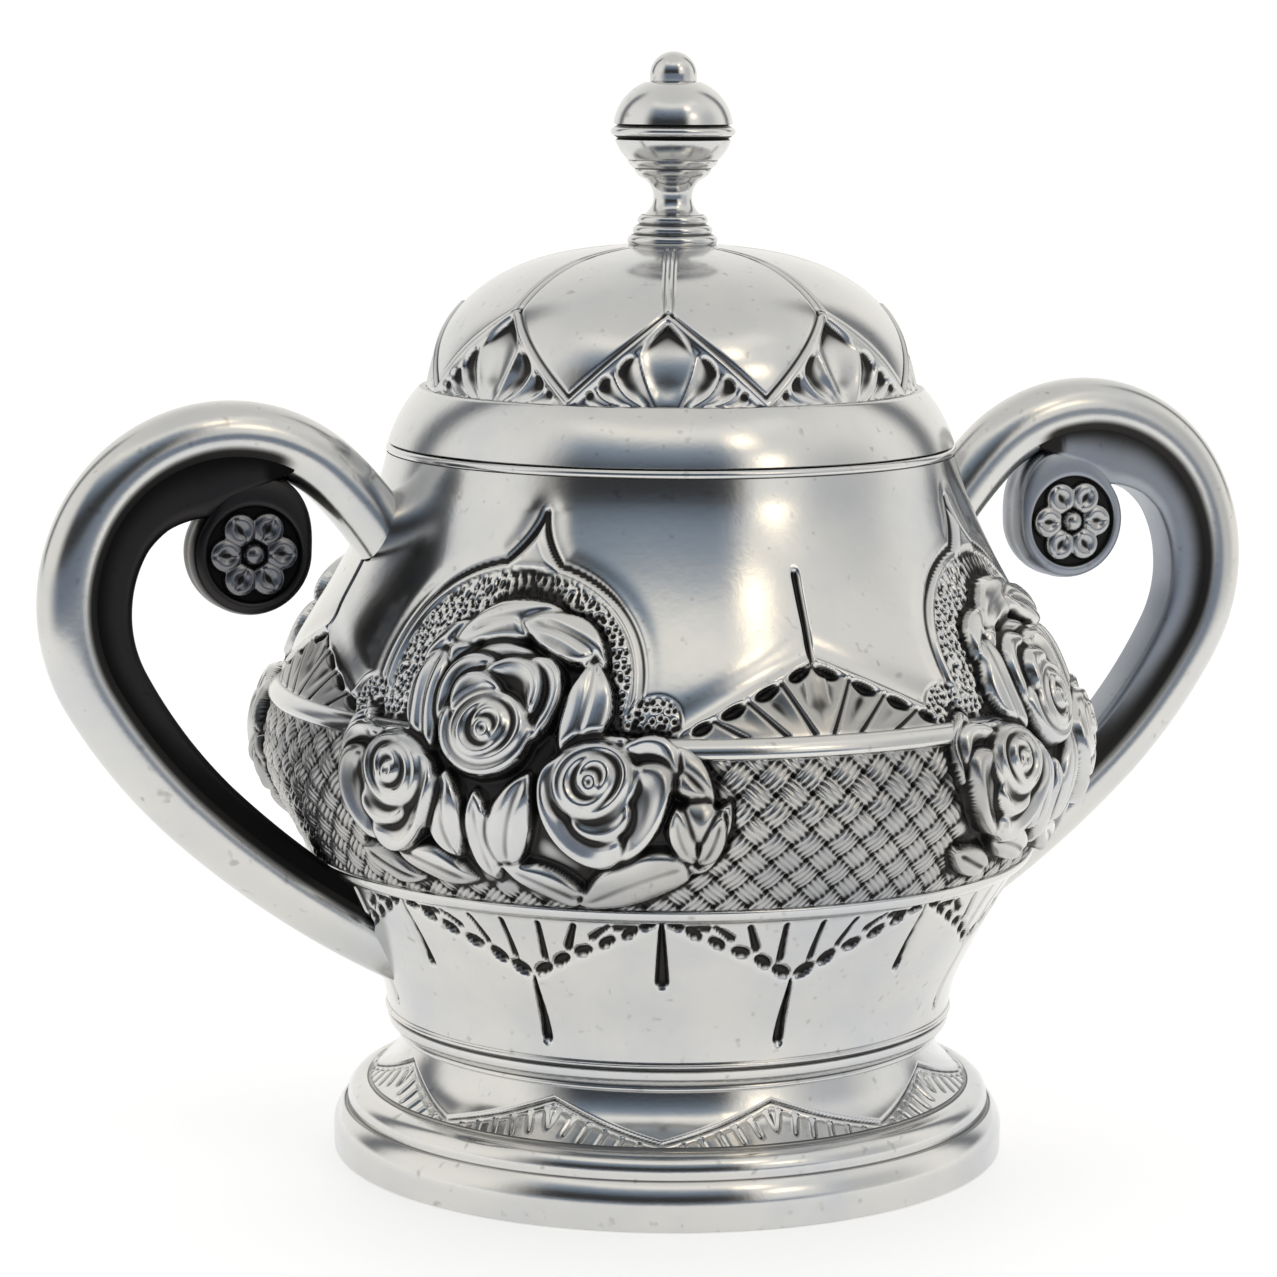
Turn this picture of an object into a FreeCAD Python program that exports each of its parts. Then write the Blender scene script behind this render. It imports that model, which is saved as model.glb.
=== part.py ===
"""Covered sugar bowl in sheet silver with two scroll handles and a lift-off lid.

Frame: millimetres, +Z up, origin at the centre of the foot's resting face.
The handles lie along X and the front of the bowl faces -Y.
"""
import FreeCAD
import Part
import math
import os
from FreeCAD import Vector

# ---------------------------------------------------------------- driving dimensions
HEIGHT = 150.0            # foot to the top of the finial
SHEET = 1.0               # raised sheet of bowl and lid
FOOT_SHEET = 1.2

FOOT_R = 46.2             # outer radius of the foot
FOOT_TOP_Z = 16.2         # foot meets the collar
NECK_R = 36.5
COLLAR_TOP_Z = 20.5       # collar meets the bowl's floor
FLOOR = 1.2

RIM_Z = 97.4              # top of the mouth ring
WALL_TOP_Z = 96.3         # top edge of the bowl's wall, under the mouth ring
WALL_TOP_R = 38.6
MOUTH_R = 35.5            # bore of the mouth ring
UPPER_WIRE_Z = 64.2
LOWER_WIRE_Z = 42.0
TUBE_FOOT_TOP_Z = 44.0     # the handles' lower ends reach up to here
HANDLE_GAP = 12.0          # break in the lower wire at each handle
SHORTEST_WIRE_RUN = 10.0    # mm3; shorter slivers between two roses are left out

LID_SEAT_GAP = 0.15       # the lid's rim over the mouth ring
BEZEL_CLEARANCE = 0.3     # the lid's flange inside the mouth ring
BEZEL_BOTTOM_Z = 92.0
STEP_Z = 105.3            # step between the lid's shoulder and its dome
STEP_R = 33.5
DOME_TOP_Z = 124.2

STUD_R = 1.25
STUD_TOP_Z = 148.0
BALL_R = 8.25
BALL_Z = 139.3

TUBE_R = 4.4
TUBE_BORE_R = 3.5
SCROLL_WIDTH = 7.0        # across the plane of the handle
VOLUTE_R = 8.1
VOLUTE_RHO = 59.6         # volute's centre, out from the bowl's axis
VOLUTE_Z = 84.7
ROSETTE_R = 5.6
ROSETTE_SEAT_R = 6.3
ROSETTE_SEAT_DEPTH = 0.7
ROSETTE_PETALS = 6

SPRAY_ANGLES = (-135.0, -45.0, 45.0, 135.0)   # from the front, toward +X
# each rose: turn from the spray's middle in degrees, height, radius of the boss
ROSES = ((-3.5, 64.0, 8.2), (-16.5, 57.0, 7.4), (11.5, 55.5, 8.6))
ROSE_RISE = 2.2

# bowl wall from the collar to the mouth: radius, height
WALL = [(38.8, 20.5), (39.6, 24.2), (41.9, 29.2), (45.4, 35.8), (49.2, 42.0), (53.3, 49.6),
        (55.5, 56.2), (54.6, 62.0), (51.2, 70.3), (47.9, 75.9), (44.0, 82.7), (41.0, 89.0),
        (39.2, 93.8), (WALL_TOP_R, WALL_TOP_Z)]
# centre line of the handle's tube: tangent arcs turning upward, then back to the bowl
TUBE_START = (38.2, 29.6)       # distance from the axis, height
TUBE_HEADING = 27.5             # degrees above outward
TUBE_ARCS = [(130.0, 15.4), (73.0, 17.0), (23.4, 58.7), (20.7, 106.3), (55.0, 11.7)]
STRAP_LAST_TURN = 76.0          # the strap leaves the tube this far into the fourth arc
# inner edge of the scroll strap, from the bowl up to the crotch of the volute
STRAP_LINE = [(36.0, 32.2), (53.6, 45.0), (63.6, 55.0), (71.2, 65.6), (75.6, 75.5),
              (75.6, 82.0), (72.6, 87.2), (68.0, 89.4)]

AXIS = Vector(0, 0, 1)
ORIGIN = Vector(0, 0, 0)


# ---------------------------------------------------------------- shape helpers
def point(r, z):
    return Vector(r, 0, z)


def line(a, b):
    return Part.makeLine(point(*a), point(*b))


def arc(a, mid, b):
    return Part.Arc(point(*a), point(*mid), point(*b)).toShape()


def spline(points):
    curve = Part.BSplineCurve()
    curve.interpolate([point(*p) for p in points])
    return curve


def turned(edges):
    """Solid of revolution about the bowl's axis."""
    face = Part.Face(Part.Wire(Part.__sortEdges__(edges)))
    return face.revolve(ORIGIN, AXIS, 360)


def turned_outline(points):
    """Solid of revolution from straight runs between points."""
    closed = points + points[:1]
    return turned([line(a, b) for a, b in zip(closed, closed[1:])])


def ring(r_in, r_out, z_low, z_high):
    return turned_outline([(r_in, z_low), (r_out, z_low), (r_out, z_high), (r_in, z_high)])


def seam_to_back(shape):
    """Turn a revolved solid so that its seam is clear of the handles."""
    shape.rotate(ORIGIN, AXIS, 90)
    return shape


def wall_radius(z):
    """Outer radius of the bowl's wall at height z."""
    curve = spline(WALL)
    cut = Part.Line(Vector(0, 0, z), Vector(1, 0, z))
    return curve.intersect(cut)[0].X


# ---------------------------------------------------------------- bowl
def bowl_envelope():
    """The bowl's outer shape as one filled solid."""
    edges = [spline(WALL).toShape(),
             line(WALL[-1], (0, WALL_TOP_Z)),
             line((0, WALL_TOP_Z), (0, COLLAR_TOP_Z)),
             line((0, COLLAR_TOP_Z), WALL[0])]
    return seam_to_back(turned(edges))


def bowl_cavity():
    inner = [(r - SHEET, z) for r, z in WALL[1:]]
    floor_z = COLLAR_TOP_Z + FLOOR
    floor_edge = (WALL[0][0] - SHEET - 1.2, floor_z)
    top = (inner[-1][0], WALL_TOP_Z + 1.0)
    edges = [spline(inner).toShape(),
             line(inner[-1], top),
             line(top, (0, top[1])),
             line((0, top[1]), (0, floor_z)),
             line((0, floor_z), floor_edge),
             line(floor_edge, inner[0])]
    return seam_to_back(turned(edges))


def rose_bosses():
    """Low domes where the chased roses stand out of the wall."""
    domes = []
    for spray in SPRAY_ANGLES:
        for turn, z, radius in ROSES:
            angle = math.radians(spray + turn)
            sphere_r = (radius ** 2 + ROSE_RISE ** 2) / (2 * ROSE_RISE)
            out = wall_radius(z) + ROSE_RISE - sphere_r
            centre = Vector(out * math.sin(angle), -out * math.cos(angle), z)
            domes.append(Part.makeSphere(sphere_r, centre))
    return domes


def bowl_body(envelope, cavity, bosses):
    # the domes are big spheres, so only a thin shell of them outside the wall is kept
    skin = ring(44.0, 60.0, 44.4, 76.0)
    body = envelope.cut(cavity)
    for boss in bosses:
        body = body.fuse(boss.common(skin).cut(envelope))
    return body.removeSplitter()


def mouth_ring():
    """Rolled rim capping the wall, with a skirt inside it that the lid's flange enters."""
    skirt_r = WALL_TOP_R - SHEET - 0.05
    rim_r = WALL_TOP_R + 0.35
    half = (RIM_Z - WALL_TOP_Z) / 2
    edges = [line((MOUTH_R, RIM_Z), (rim_r - half, RIM_Z)),
             arc((rim_r - half, RIM_Z), (rim_r, RIM_Z - half), (rim_r - half, WALL_TOP_Z)),
             line((rim_r - half, WALL_TOP_Z), (skirt_r, WALL_TOP_Z)),
             line((skirt_r, WALL_TOP_Z), (skirt_r, WALL_TOP_Z - 1.9)),
             line((skirt_r, WALL_TOP_Z - 1.9), (MOUTH_R, WALL_TOP_Z - 1.9)),
             line((MOUTH_R, WALL_TOP_Z - 1.9), (MOUTH_R, RIM_Z))]
    return turned(edges)


def band_wire(z, half_height, proud, bosses):
    """Half-round wire on the wall, broken where a rose or a handle's end lies over it."""
    wall = spline(WALL)
    low = point(wall_radius(z - half_height), z - half_height)
    high = point(wall_radius(z + half_height), z + half_height)
    back = wall.copy()
    back.segment(wall.parameter(low), wall.parameter(high))
    crown = point(wall_radius(z) + proud, z)
    wire = turned([Part.Arc(low, crown, high).toShape(), back.toShape()])
    for boss in bosses:
        wire = wire.cut(boss)
    if z - half_height < TUBE_FOOT_TOP_Z:
        gap = Part.makeBox(2 * HEIGHT, HANDLE_GAP, 10.0, Vector(-HEIGHT, -HANDLE_GAP / 2, z - 5.0))
        wire = wire.cut(gap)
    runs = [solid for solid in wire.Solids if solid.Volume > SHORTEST_WIRE_RUN]
    return Part.makeCompound(runs)


# ---------------------------------------------------------------- foot
def foot_collar():
    """Thin turned collar between the bowl's floor and the foot."""
    outer = [(38.9, COLLAR_TOP_Z), (38.9, 19.7), (38.3, 19.4), (38.7, 18.9)]
    edges = [line(a, b) for a, b in zip(outer, outer[1:])]
    edges += [arc((38.7, 18.9), (38.5, 17.8), (37.6, 17.1)),
              line((37.6, 17.1), (36.9, FOOT_TOP_Z)),
              line((36.9, FOOT_TOP_Z), (NECK_R - FOOT_SHEET, FOOT_TOP_Z)),
              line((NECK_R - FOOT_SHEET, FOOT_TOP_Z), (NECK_R - FOOT_SHEET, COLLAR_TOP_Z)),
              line((NECK_R - FOOT_SHEET, COLLAR_TOP_Z), (38.9, COLLAR_TOP_Z))]
    return turned(edges)


def foot():
    """Spread foot: concave flare, groove, round bead, groove, base band; hollow below."""
    flare_end = (41.2, 10.0)
    bead = ((41.6, 9.6), (43.5, 9.0), (44.3, 6.5))
    band = ((44.8, 6.3), (45.9, 4.6), (FOOT_R, 2.4))
    wall_in = FOOT_R - FOOT_SHEET
    edges = [arc((NECK_R, FOOT_TOP_Z), (38.0, 12.9), flare_end),
             line(flare_end, (41.2, 9.5)),
             line((41.2, 9.5), bead[0]),
             arc(*bead),
             line(bead[2], (44.3, 6.1)),
             line((44.3, 6.1), band[0]),
             arc(*band),
             line(band[2], (FOOT_R, 0)),
             line((FOOT_R, 0), (wall_in, 0)),
             line((wall_in, 0), (wall_in, 3.4)),
             arc((wall_in, 3.4), (41.4, 7.9), (38.6, 9.9)),
             arc((38.6, 9.9), (36.2, 12.4), (NECK_R - FOOT_SHEET, FOOT_TOP_Z)),
             line((NECK_R - FOOT_SHEET, FOOT_TOP_Z), (NECK_R, FOOT_TOP_Z))]
    return turned(edges)


def foot_rim_wire():
    """Flat wire soldered inside the base band; it shares the resting face."""
    return ring(FOOT_R - FOOT_SHEET - 1.5, FOOT_R - FOOT_SHEET, 0, 1.6)


# ---------------------------------------------------------------- handles, built on +X
def arc_chain(arcs):
    """Centre, start point and heading of each tangent arc of the tube's centre line."""
    heading = math.radians(TUBE_HEADING)
    start = point(*TUBE_START)
    chain = []
    for radius, turn in arcs:
        centre = start + Vector(-radius * math.sin(heading), 0, radius * math.cos(heading))
        chain.append((centre, start, heading, radius, turn))
        heading += math.radians(turn)
        start = centre + Vector(radius * math.sin(heading), 0, -radius * math.cos(heading))
    return chain, start


def tube_solid(radius):
    """Round bar along the whole centre line, one ring segment per arc."""
    bar = None
    for centre, start, heading, _, turn in arc_chain(TUBE_ARCS)[0]:
        along = Vector(math.cos(heading), 0, math.sin(heading))
        section = Part.Face(Part.Wire(Part.makeCircle(radius, start, along)))
        segment = section.revolve(centre, Vector(0, -1, 0), turn)
        bar = segment if bar is None else bar.fuse(segment)
    return bar


def handle_tube(envelope):
    return biggest(tube_solid(TUBE_R).cut(tube_solid(TUBE_BORE_R)).cut(envelope))


def strap_outline():
    """Strap between the tube's centre line and its own inner edge, ending in the volute."""
    chain, end = arc_chain(TUBE_ARCS[:3] + [(TUBE_ARCS[3][0], STRAP_LAST_TURN)])
    edges = []
    for centre, start, heading, radius, turn in chain:
        half = heading + math.radians(turn) / 2
        full = heading + math.radians(turn)
        middle = centre + Vector(radius * math.sin(half), 0, -radius * math.cos(half))
        finish = centre + Vector(radius * math.sin(full), 0, -radius * math.cos(full))
        edges.append(Part.Arc(start, middle, finish).toShape())
    inner = [point(*p) for p in STRAP_LINE]
    over_volute = point(VOLUTE_RHO + 1.0, VOLUTE_Z + VOLUTE_R - 0.4)
    centre = point(VOLUTE_RHO, VOLUTE_Z)
    edges += [Part.makeLine(end, over_volute), Part.makeLine(over_volute, centre),
              Part.makeLine(centre, inner[-1]), spline(STRAP_LINE).toShape(),
              Part.makeLine(inner[0], chain[0][1])]
    return Part.Face(Part.Wire(Part.__sortEdges__(edges)))


def handle_scroll(envelope):
    """Strap along the inside of the tube that curls into a volute with a rosette seat."""
    half = SCROLL_WIDTH / 2
    centre = point(VOLUTE_RHO, VOLUTE_Z)
    face = strap_outline()
    face.translate(Vector(0, -half, 0))
    strap = face.extrude(Vector(0, SCROLL_WIDTH, 0))
    disc = Part.makeCylinder(VOLUTE_R, SCROLL_WIDTH, centre - Vector(0, half, 0), Vector(0, 1, 0))
    scroll = strap.fuse(disc).cut(envelope).cut(tube_solid(TUBE_R))
    for side in (-1, 1):
        seat = Part.makeCylinder(ROSETTE_SEAT_R, ROSETTE_SEAT_DEPTH,
                                 centre + Vector(0, side * half, 0), Vector(0, -side, 0))
        scroll = scroll.cut(seat)
    return biggest(scroll).removeSplitter()


def rosette(side):
    """Flower of petals round a centre boss, in the seat on one face of the volute."""
    seat_y = side * (SCROLL_WIDTH / 2 - ROSETTE_SEAT_DEPTH)
    centre = Vector(VOLUTE_RHO, seat_y, VOLUTE_Z)
    outward = Vector(0, side, 0)
    flower = Part.makeCylinder(ROSETTE_R * 0.62, 0.8, centre, outward)
    petal_r = ROSETTE_R * 0.32
    for i in range(ROSETTE_PETALS):
        turn = 2 * math.pi * i / ROSETTE_PETALS
        arm = ROSETTE_R - petal_r
        at = centre + Vector(arm * math.cos(turn), 0, arm * math.sin(turn))
        flower = flower.fuse(Part.makeCone(petal_r, petal_r * 0.55, 1.2, at, outward))
    flower = flower.fuse(Part.makeCone(ROSETTE_R * 0.24, ROSETTE_R * 0.14, 1.5, centre, outward))
    return flower.removeSplitter()


def mirrored(shape):
    return shape.mirror(ORIGIN, Vector(1, 0, 0))


def biggest(shape):
    return max(shape.Solids, key=lambda solid: solid.Volume)


# ---------------------------------------------------------------- lid
def lid_bezel():
    """Flange that drops into the mouth ring and keeps the lid central."""
    outer = MOUTH_R - BEZEL_CLEARANCE
    return ring(outer - 1.0, outer, BEZEL_BOTTOM_Z, RIM_Z + 2.2)


def lid_shoulder():
    seat_z = RIM_Z + LID_SEAT_GAP
    inner_r = MOUTH_R - BEZEL_CLEARANCE
    edges = [line((inner_r, seat_z), (38.4, seat_z)),
             arc((38.4, seat_z), (37.1, 100.9), (34.3, STEP_Z - 0.3)),
             line((34.3, STEP_Z - 0.3), (STEP_R, STEP_Z - 0.3)),
             line((STEP_R, STEP_Z - 0.3), (STEP_R - SHEET, STEP_Z - 0.3)),
             line((STEP_R - SHEET, STEP_Z - 0.3), (STEP_R - SHEET, STEP_Z - 1.5)),
             arc((STEP_R - SHEET, STEP_Z - 1.5), (34.4, 101.8), (inner_r, RIM_Z + 2.2)),
             line((inner_r, RIM_Z + 2.2), (inner_r, seat_z))]
    return turned(edges)


def lid_dome():
    base_z = STEP_Z - 0.3
    outer = [(STEP_R, base_z), (32.3, 110.0), (29.2, 115.2), (24.0, 119.6), (16.0, 122.8),
             (7.4, DOME_TOP_Z)]
    inner = [(STEP_R - SHEET, base_z), (31.2, 109.6), (28.3, 114.3), (23.3, 118.5),
             (15.6, 121.6), (7.4, DOME_TOP_Z - SHEET)]
    edges = [spline(outer).toShape(),
             line(outer[-1], (STUD_R, DOME_TOP_Z)),
             line((STUD_R, DOME_TOP_Z), (STUD_R, DOME_TOP_Z - SHEET)),
             line((STUD_R, DOME_TOP_Z - SHEET), inner[-1]),
             spline(inner).toShape(),
             line(inner[0], outer[0])]
    return turned(edges)


# ---------------------------------------------------------------- finial
def finial_base():
    """Three stepped rings on top of the dome."""
    steps = ((6.1, 124.2, 125.5), (5.4, 125.5, 126.9), (4.7, 126.9, 128.2))
    outline = [(STUD_R, 124.2)]
    for radius, low, high in steps:
        outline += [(radius, low), (radius, high - 0.25), (radius - 0.25, high)]
    outline.append((STUD_R, 128.2))
    return turned_outline(outline)


def finial_stem():
    edges = [line((STUD_R, 128.2), (3.8, 128.2)),
             arc((3.8, 128.2), (2.6, 130.6), (3.8, 132.9)),
             line((3.8, 132.9), (STUD_R, 132.9)),
             line((STUD_R, 132.9), (STUD_R, 128.2))]
    return turned(edges)


def finial_ball_lower():
    low_z = 132.9
    high_z = BALL_Z - 0.9
    edges = [line((STUD_R, low_z), (3.9, low_z)),
             line((3.9, low_z), (5.2, 134.3)),
             line((5.2, 134.3), (5.2, 134.6)),
             arc((5.2, 134.6), (7.0, 136.4), (BALL_R - 0.4, high_z)),
             line((BALL_R - 0.4, high_z), (STUD_R, high_z)),
             line((STUD_R, high_z), (STUD_R, low_z))]
    return turned(edges)


def finial_belt():
    low_z = BALL_Z - 0.9
    high_z = BALL_Z + 0.9
    edges = [line((STUD_R, low_z), (BALL_R - 0.1, low_z)),
             arc((BALL_R - 0.1, low_z), (BALL_R + 0.2, BALL_Z), (BALL_R - 0.1, high_z)),
             line((BALL_R - 0.1, high_z), (STUD_R, high_z)),
             line((STUD_R, high_z), (STUD_R, low_z))]
    return turned(edges)


def finial_ball_upper():
    low_z = BALL_Z + 0.9
    top_z = 145.9
    edges = [line((STUD_R, low_z), (BALL_R - 0.4, low_z)),
             arc((BALL_R - 0.4, low_z), (6.85, 143.5), (3.8, top_z)),
             line((3.8, top_z), (STUD_R, top_z)),
             line((STUD_R, top_z), (STUD_R, low_z))]
    return turned(edges)


def finial_cap():
    """Button that hides the stud's head; its top is a cap of a sphere on the axis."""
    base_z = 145.9
    side_z = 147.0
    side_r = 3.15
    rise = HEIGHT - side_z
    sphere_r = (side_r ** 2 + rise ** 2) / (2 * rise)
    turn = math.asin(side_r / sphere_r) / 2
    middle = (sphere_r * math.sin(turn), HEIGHT - sphere_r * (1 - math.cos(turn)))
    edges = [line((STUD_R, base_z), (side_r, base_z)),
             line((side_r, base_z), (side_r, side_z)),
             arc((side_r, side_z), middle, (0, HEIGHT)),
             line((0, HEIGHT), (0, STUD_TOP_Z)),
             line((0, STUD_TOP_Z), (STUD_R, STUD_TOP_Z)),
             line((STUD_R, STUD_TOP_Z), (STUD_R, base_z))]
    return turned(edges)


def finial_stud():
    bottom = 118.2
    return Part.makeCylinder(STUD_R, STUD_TOP_Z - bottom, Vector(0, 0, bottom))


def finial_washer():
    top = DOME_TOP_Z - SHEET
    return ring(STUD_R, 4.6, top - 0.8, top)


def finial_nut():
    top = DOME_TOP_Z - SHEET - 0.8
    height = 2.4
    across_corners = 3.4
    corners = [Vector(across_corners * math.cos(math.radians(60 * i)),
                      across_corners * math.sin(math.radians(60 * i)), top - height)
               for i in range(7)]
    hexagon = Part.Face(Part.makePolygon(corners)).extrude(Vector(0, 0, height))
    bore = Part.makeCylinder(STUD_R, height, Vector(0, 0, top - height))
    return hexagon.cut(bore)


# ---------------------------------------------------------------- assembly
def build():
    envelope = bowl_envelope()
    bosses = rose_bosses()
    tube = handle_tube(envelope)
    scroll = handle_scroll(envelope)
    nodes = {
        "bowl_body": bowl_body(envelope, bowl_cavity(), bosses),
        "mouth_ring": mouth_ring(),
        "upper_band_wire": band_wire(UPPER_WIRE_Z, 1.25, 1.0, bosses),
        "lower_band_wire": band_wire(LOWER_WIRE_Z, 0.95, 0.8, bosses),
        "foot_collar": foot_collar(),
        "foot": foot(),
        "foot_rim_wire": foot_rim_wire(),
        "lid_dome": lid_dome(),
        "lid_shoulder": lid_shoulder(),
        "lid_bezel": lid_bezel(),
        "finial_base": finial_base(),
        "finial_stem": finial_stem(),
        "finial_ball_lower": finial_ball_lower(),
        "finial_belt": finial_belt(),
        "finial_ball_upper": finial_ball_upper(),
        "finial_cap": finial_cap(),
        "finial_stud": finial_stud(),
        "finial_washer": finial_washer(),
        "finial_nut": finial_nut(),
    }
    flowers = {"front": rosette(-1), "back": rosette(1)}
    for name, place in (("right", lambda shape: shape), ("left", mirrored)):
        nodes[name + "_handle_tube"] = place(tube)
        nodes[name + "_handle_scroll"] = place(scroll)
        for face_name, flower in flowers.items():
            nodes[name + "_rosette_" + face_name] = place(flower)
    return nodes


def main():
    os.makedirs("parts", exist_ok=True)
    for name, shape in build().items():
        if not shape.isValid():
            print("invalid shape:", name)
        print(name, len(shape.Solids), "solid(s)", round(shape.Volume, 1), "mm3")
        shape.exportStep("parts/" + name + ".step")


main()
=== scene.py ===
"""Chased silver sugar bowl: relief, materials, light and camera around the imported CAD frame."""
import bmesh
import bpy
import math
import numpy as np
from mathutils import Euler, Matrix, Vector


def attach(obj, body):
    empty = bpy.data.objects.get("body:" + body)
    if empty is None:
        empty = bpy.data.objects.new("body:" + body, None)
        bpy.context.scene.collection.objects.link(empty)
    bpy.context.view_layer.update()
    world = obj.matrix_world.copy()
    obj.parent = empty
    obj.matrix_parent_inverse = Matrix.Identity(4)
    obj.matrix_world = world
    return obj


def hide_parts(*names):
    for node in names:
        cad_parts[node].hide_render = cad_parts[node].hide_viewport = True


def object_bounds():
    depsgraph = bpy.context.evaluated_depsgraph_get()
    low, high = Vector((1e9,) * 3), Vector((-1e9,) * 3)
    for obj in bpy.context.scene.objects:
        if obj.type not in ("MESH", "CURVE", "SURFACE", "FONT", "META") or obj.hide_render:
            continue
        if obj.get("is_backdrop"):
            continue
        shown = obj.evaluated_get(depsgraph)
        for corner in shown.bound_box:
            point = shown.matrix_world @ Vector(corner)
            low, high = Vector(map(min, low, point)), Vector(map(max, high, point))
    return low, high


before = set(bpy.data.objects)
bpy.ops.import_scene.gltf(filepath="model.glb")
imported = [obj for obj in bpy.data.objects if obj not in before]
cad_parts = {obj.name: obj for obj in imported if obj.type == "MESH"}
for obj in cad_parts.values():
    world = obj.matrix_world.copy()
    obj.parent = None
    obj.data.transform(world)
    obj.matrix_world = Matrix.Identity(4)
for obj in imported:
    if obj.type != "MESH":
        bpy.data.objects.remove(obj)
cad_low, cad_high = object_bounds()

MM = 0.001                      # everything below is in millimetres until a mesh is made
TAU = 2 * math.pi
FOLD = TAU / 4                  # the belly's ornament repeats four times
EIGHTH = TAU / 8                # zigzags and the lid's triangles repeat eight times

# ---------------------------------------------------------------- profiles (radius, height)
WALL = [(38.8, 20.5), (39.6, 24.2), (41.9, 29.2), (45.4, 35.8), (49.2, 42.0), (53.3, 49.6),
        (55.5, 56.2), (54.6, 62.0), (51.2, 70.3), (47.9, 75.9), (44.0, 82.7), (41.0, 89.0),
        (39.2, 93.8), (38.6, 96.3)]
DOME = [(33.5, 105.0), (32.3, 110.0), (29.2, 115.2), (24.0, 119.6), (16.0, 122.8), (5.4, 124.25)]
FLARE = [(36.5, 16.2), (38.0, 12.9), (41.2, 10.0)]
BELLY_Z = 56.2                  # height where the wall's own distance scale starts
DOME_R = 31.5                   # radius that the lid's triangles are laid out on
WEAVE_R = 54.5                  # radius that the woven band is laid out on
ZIGZAG_R = 44.5                 # and the zigzag below it
FLARE_R = 39.0                  # and the foot's zigzag
FAN_HALF, FAN_TALL = 19.0, 9.6  # half width and height of the fans above the upper wire
UPPER_WIRE_Z = 64.2
LOWER_WIRE_Z = 42.0


# ---------------------------------------------------------------- numbers
def ramp(x, low, high):
    t = np.clip((x - low) / (high - low), 0.0, 1.0)
    return t * t * (3 - 2 * t)


def mix(a, b, t):
    return a + (b - a) * t


def bell(x, width):
    return np.exp(-(x / width) ** 2)


def from_spray(angle):
    """Signed angle from the middle of the nearest spray."""
    return np.mod(angle, FOLD) - FOLD / 2


def from_eighth(angle):
    """Angle from the nearest whole eighth of a turn."""
    return np.abs(np.mod(angle + EIGHTH / 2, EIGHTH) - EIGHTH / 2)


def below_wire(s):
    """1 under the lower wire, 0 above."""
    return ramp(-s, 16.6, 17.0)


def smooth_path(points, count):
    """Points evenly spaced along a natural cubic spline through the given ones."""
    knots = np.array(points, float)
    steps = np.hypot(*np.diff(knots, axis=0).T)
    at = np.concatenate([[0], np.cumsum(steps)])
    n = len(knots)
    system = np.eye(n)
    right = np.zeros((n, knots.shape[1]))
    for i in range(1, n - 1):
        system[i, i - 1:i + 2] = steps[i - 1], 2 * (steps[i - 1] + steps[i]), steps[i]
        right[i] = 6 * ((knots[i + 1] - knots[i]) / steps[i]
                        - (knots[i] - knots[i - 1]) / steps[i - 1])
    bend = np.linalg.solve(system, right)
    fine = np.linspace(0, at[-1], 4000)
    k = np.clip(np.searchsorted(at, fine) - 1, 0, n - 2)
    h = steps[k][:, None]
    a = (at[k + 1] - fine)[:, None]
    b = (fine - at[k])[:, None]
    dense = (bend[k] * a ** 3 + bend[k + 1] * b ** 3) / (6 * h)
    dense += (knots[k] / h - bend[k] * h / 6) * a + (knots[k + 1] / h - bend[k + 1] * h / 6) * b
    length = np.concatenate([[0], np.cumsum(np.hypot(*np.diff(dense, axis=0).T))])
    if np.isscalar(count):
        count = np.linspace(0, 1, count)
    want = count * length[-1]
    return np.column_stack([np.interp(want, length, dense[:, i]) for i in (0, 1)]), want


def blur(h, cells):
    reach = int(3 * cells) + 1
    weights = np.exp(-(np.arange(-reach, reach + 1) / cells) ** 2 / 2)
    weights /= weights.sum()
    for axis in (0, 1):
        pad = [(0, 0), (0, 0)]
        pad[axis] = (reach, reach)
        wide = np.pad(h, pad, mode="edge")
        size = h.shape[axis]
        h = sum(w * np.take(wide, np.arange(i, i + size), axis) for i, w in enumerate(weights))
    return h


# ---------------------------------------------------------------- chasing tools
FORM_GROOVE = 0.6               # depth punched round each leaf and petal


def lay(h, outside, top, groove, width=0.4, edge=0.26):
    """Lay a form over the relief. outside is the distance beyond its outline, in mm."""
    h = h - groove * bell(np.maximum(outside, 0), width)
    over = ramp(-outside, -edge, edge)
    return mix(h, top, over)


def ellipse(x, y, cx, cy, a, b, turn=0.0):
    """Distance beyond an ellipse, and the share of the way from its centre to its outline."""
    c, s = math.cos(math.radians(turn)), math.sin(math.radians(turn))
    u = (x - cx) * c + (y - cy) * s
    v = (y - cy) * c - (x - cx) * s
    share = np.hypot(u / a, v / b)
    slope = np.hypot(u / a ** 2, v / b ** 2) / np.maximum(share, 1e-6)
    return (share - 1) / np.maximum(slope, 1e-6), share


def segment(x, y, x0, y0, x1, y1):
    """Place along a segment, 0 to 1, the signed distance to its left, and its length."""
    length = math.hypot(x1 - x0, y1 - y0)
    ux, uy = (x1 - x0) / length, (y1 - y0) / length
    along = ((x - x0) * ux + (y - y0) * uy) / length
    return along, (y - y0) * ux - (x - x0) * uy, length


def stroke(h, x, y, ends, half, depth, tail=None):
    """A punched line. tail is the half-width at its far end."""
    along, across, length = segment(x, y, *ends)
    t = np.clip(along, 0, 1)
    off = np.hypot(across, (along - t) * length)
    wide = half if tail is None else mix(half, tail, t)
    return h - depth * (1 - ramp(off, wide * 0.35, wide * 1.15))


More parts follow.
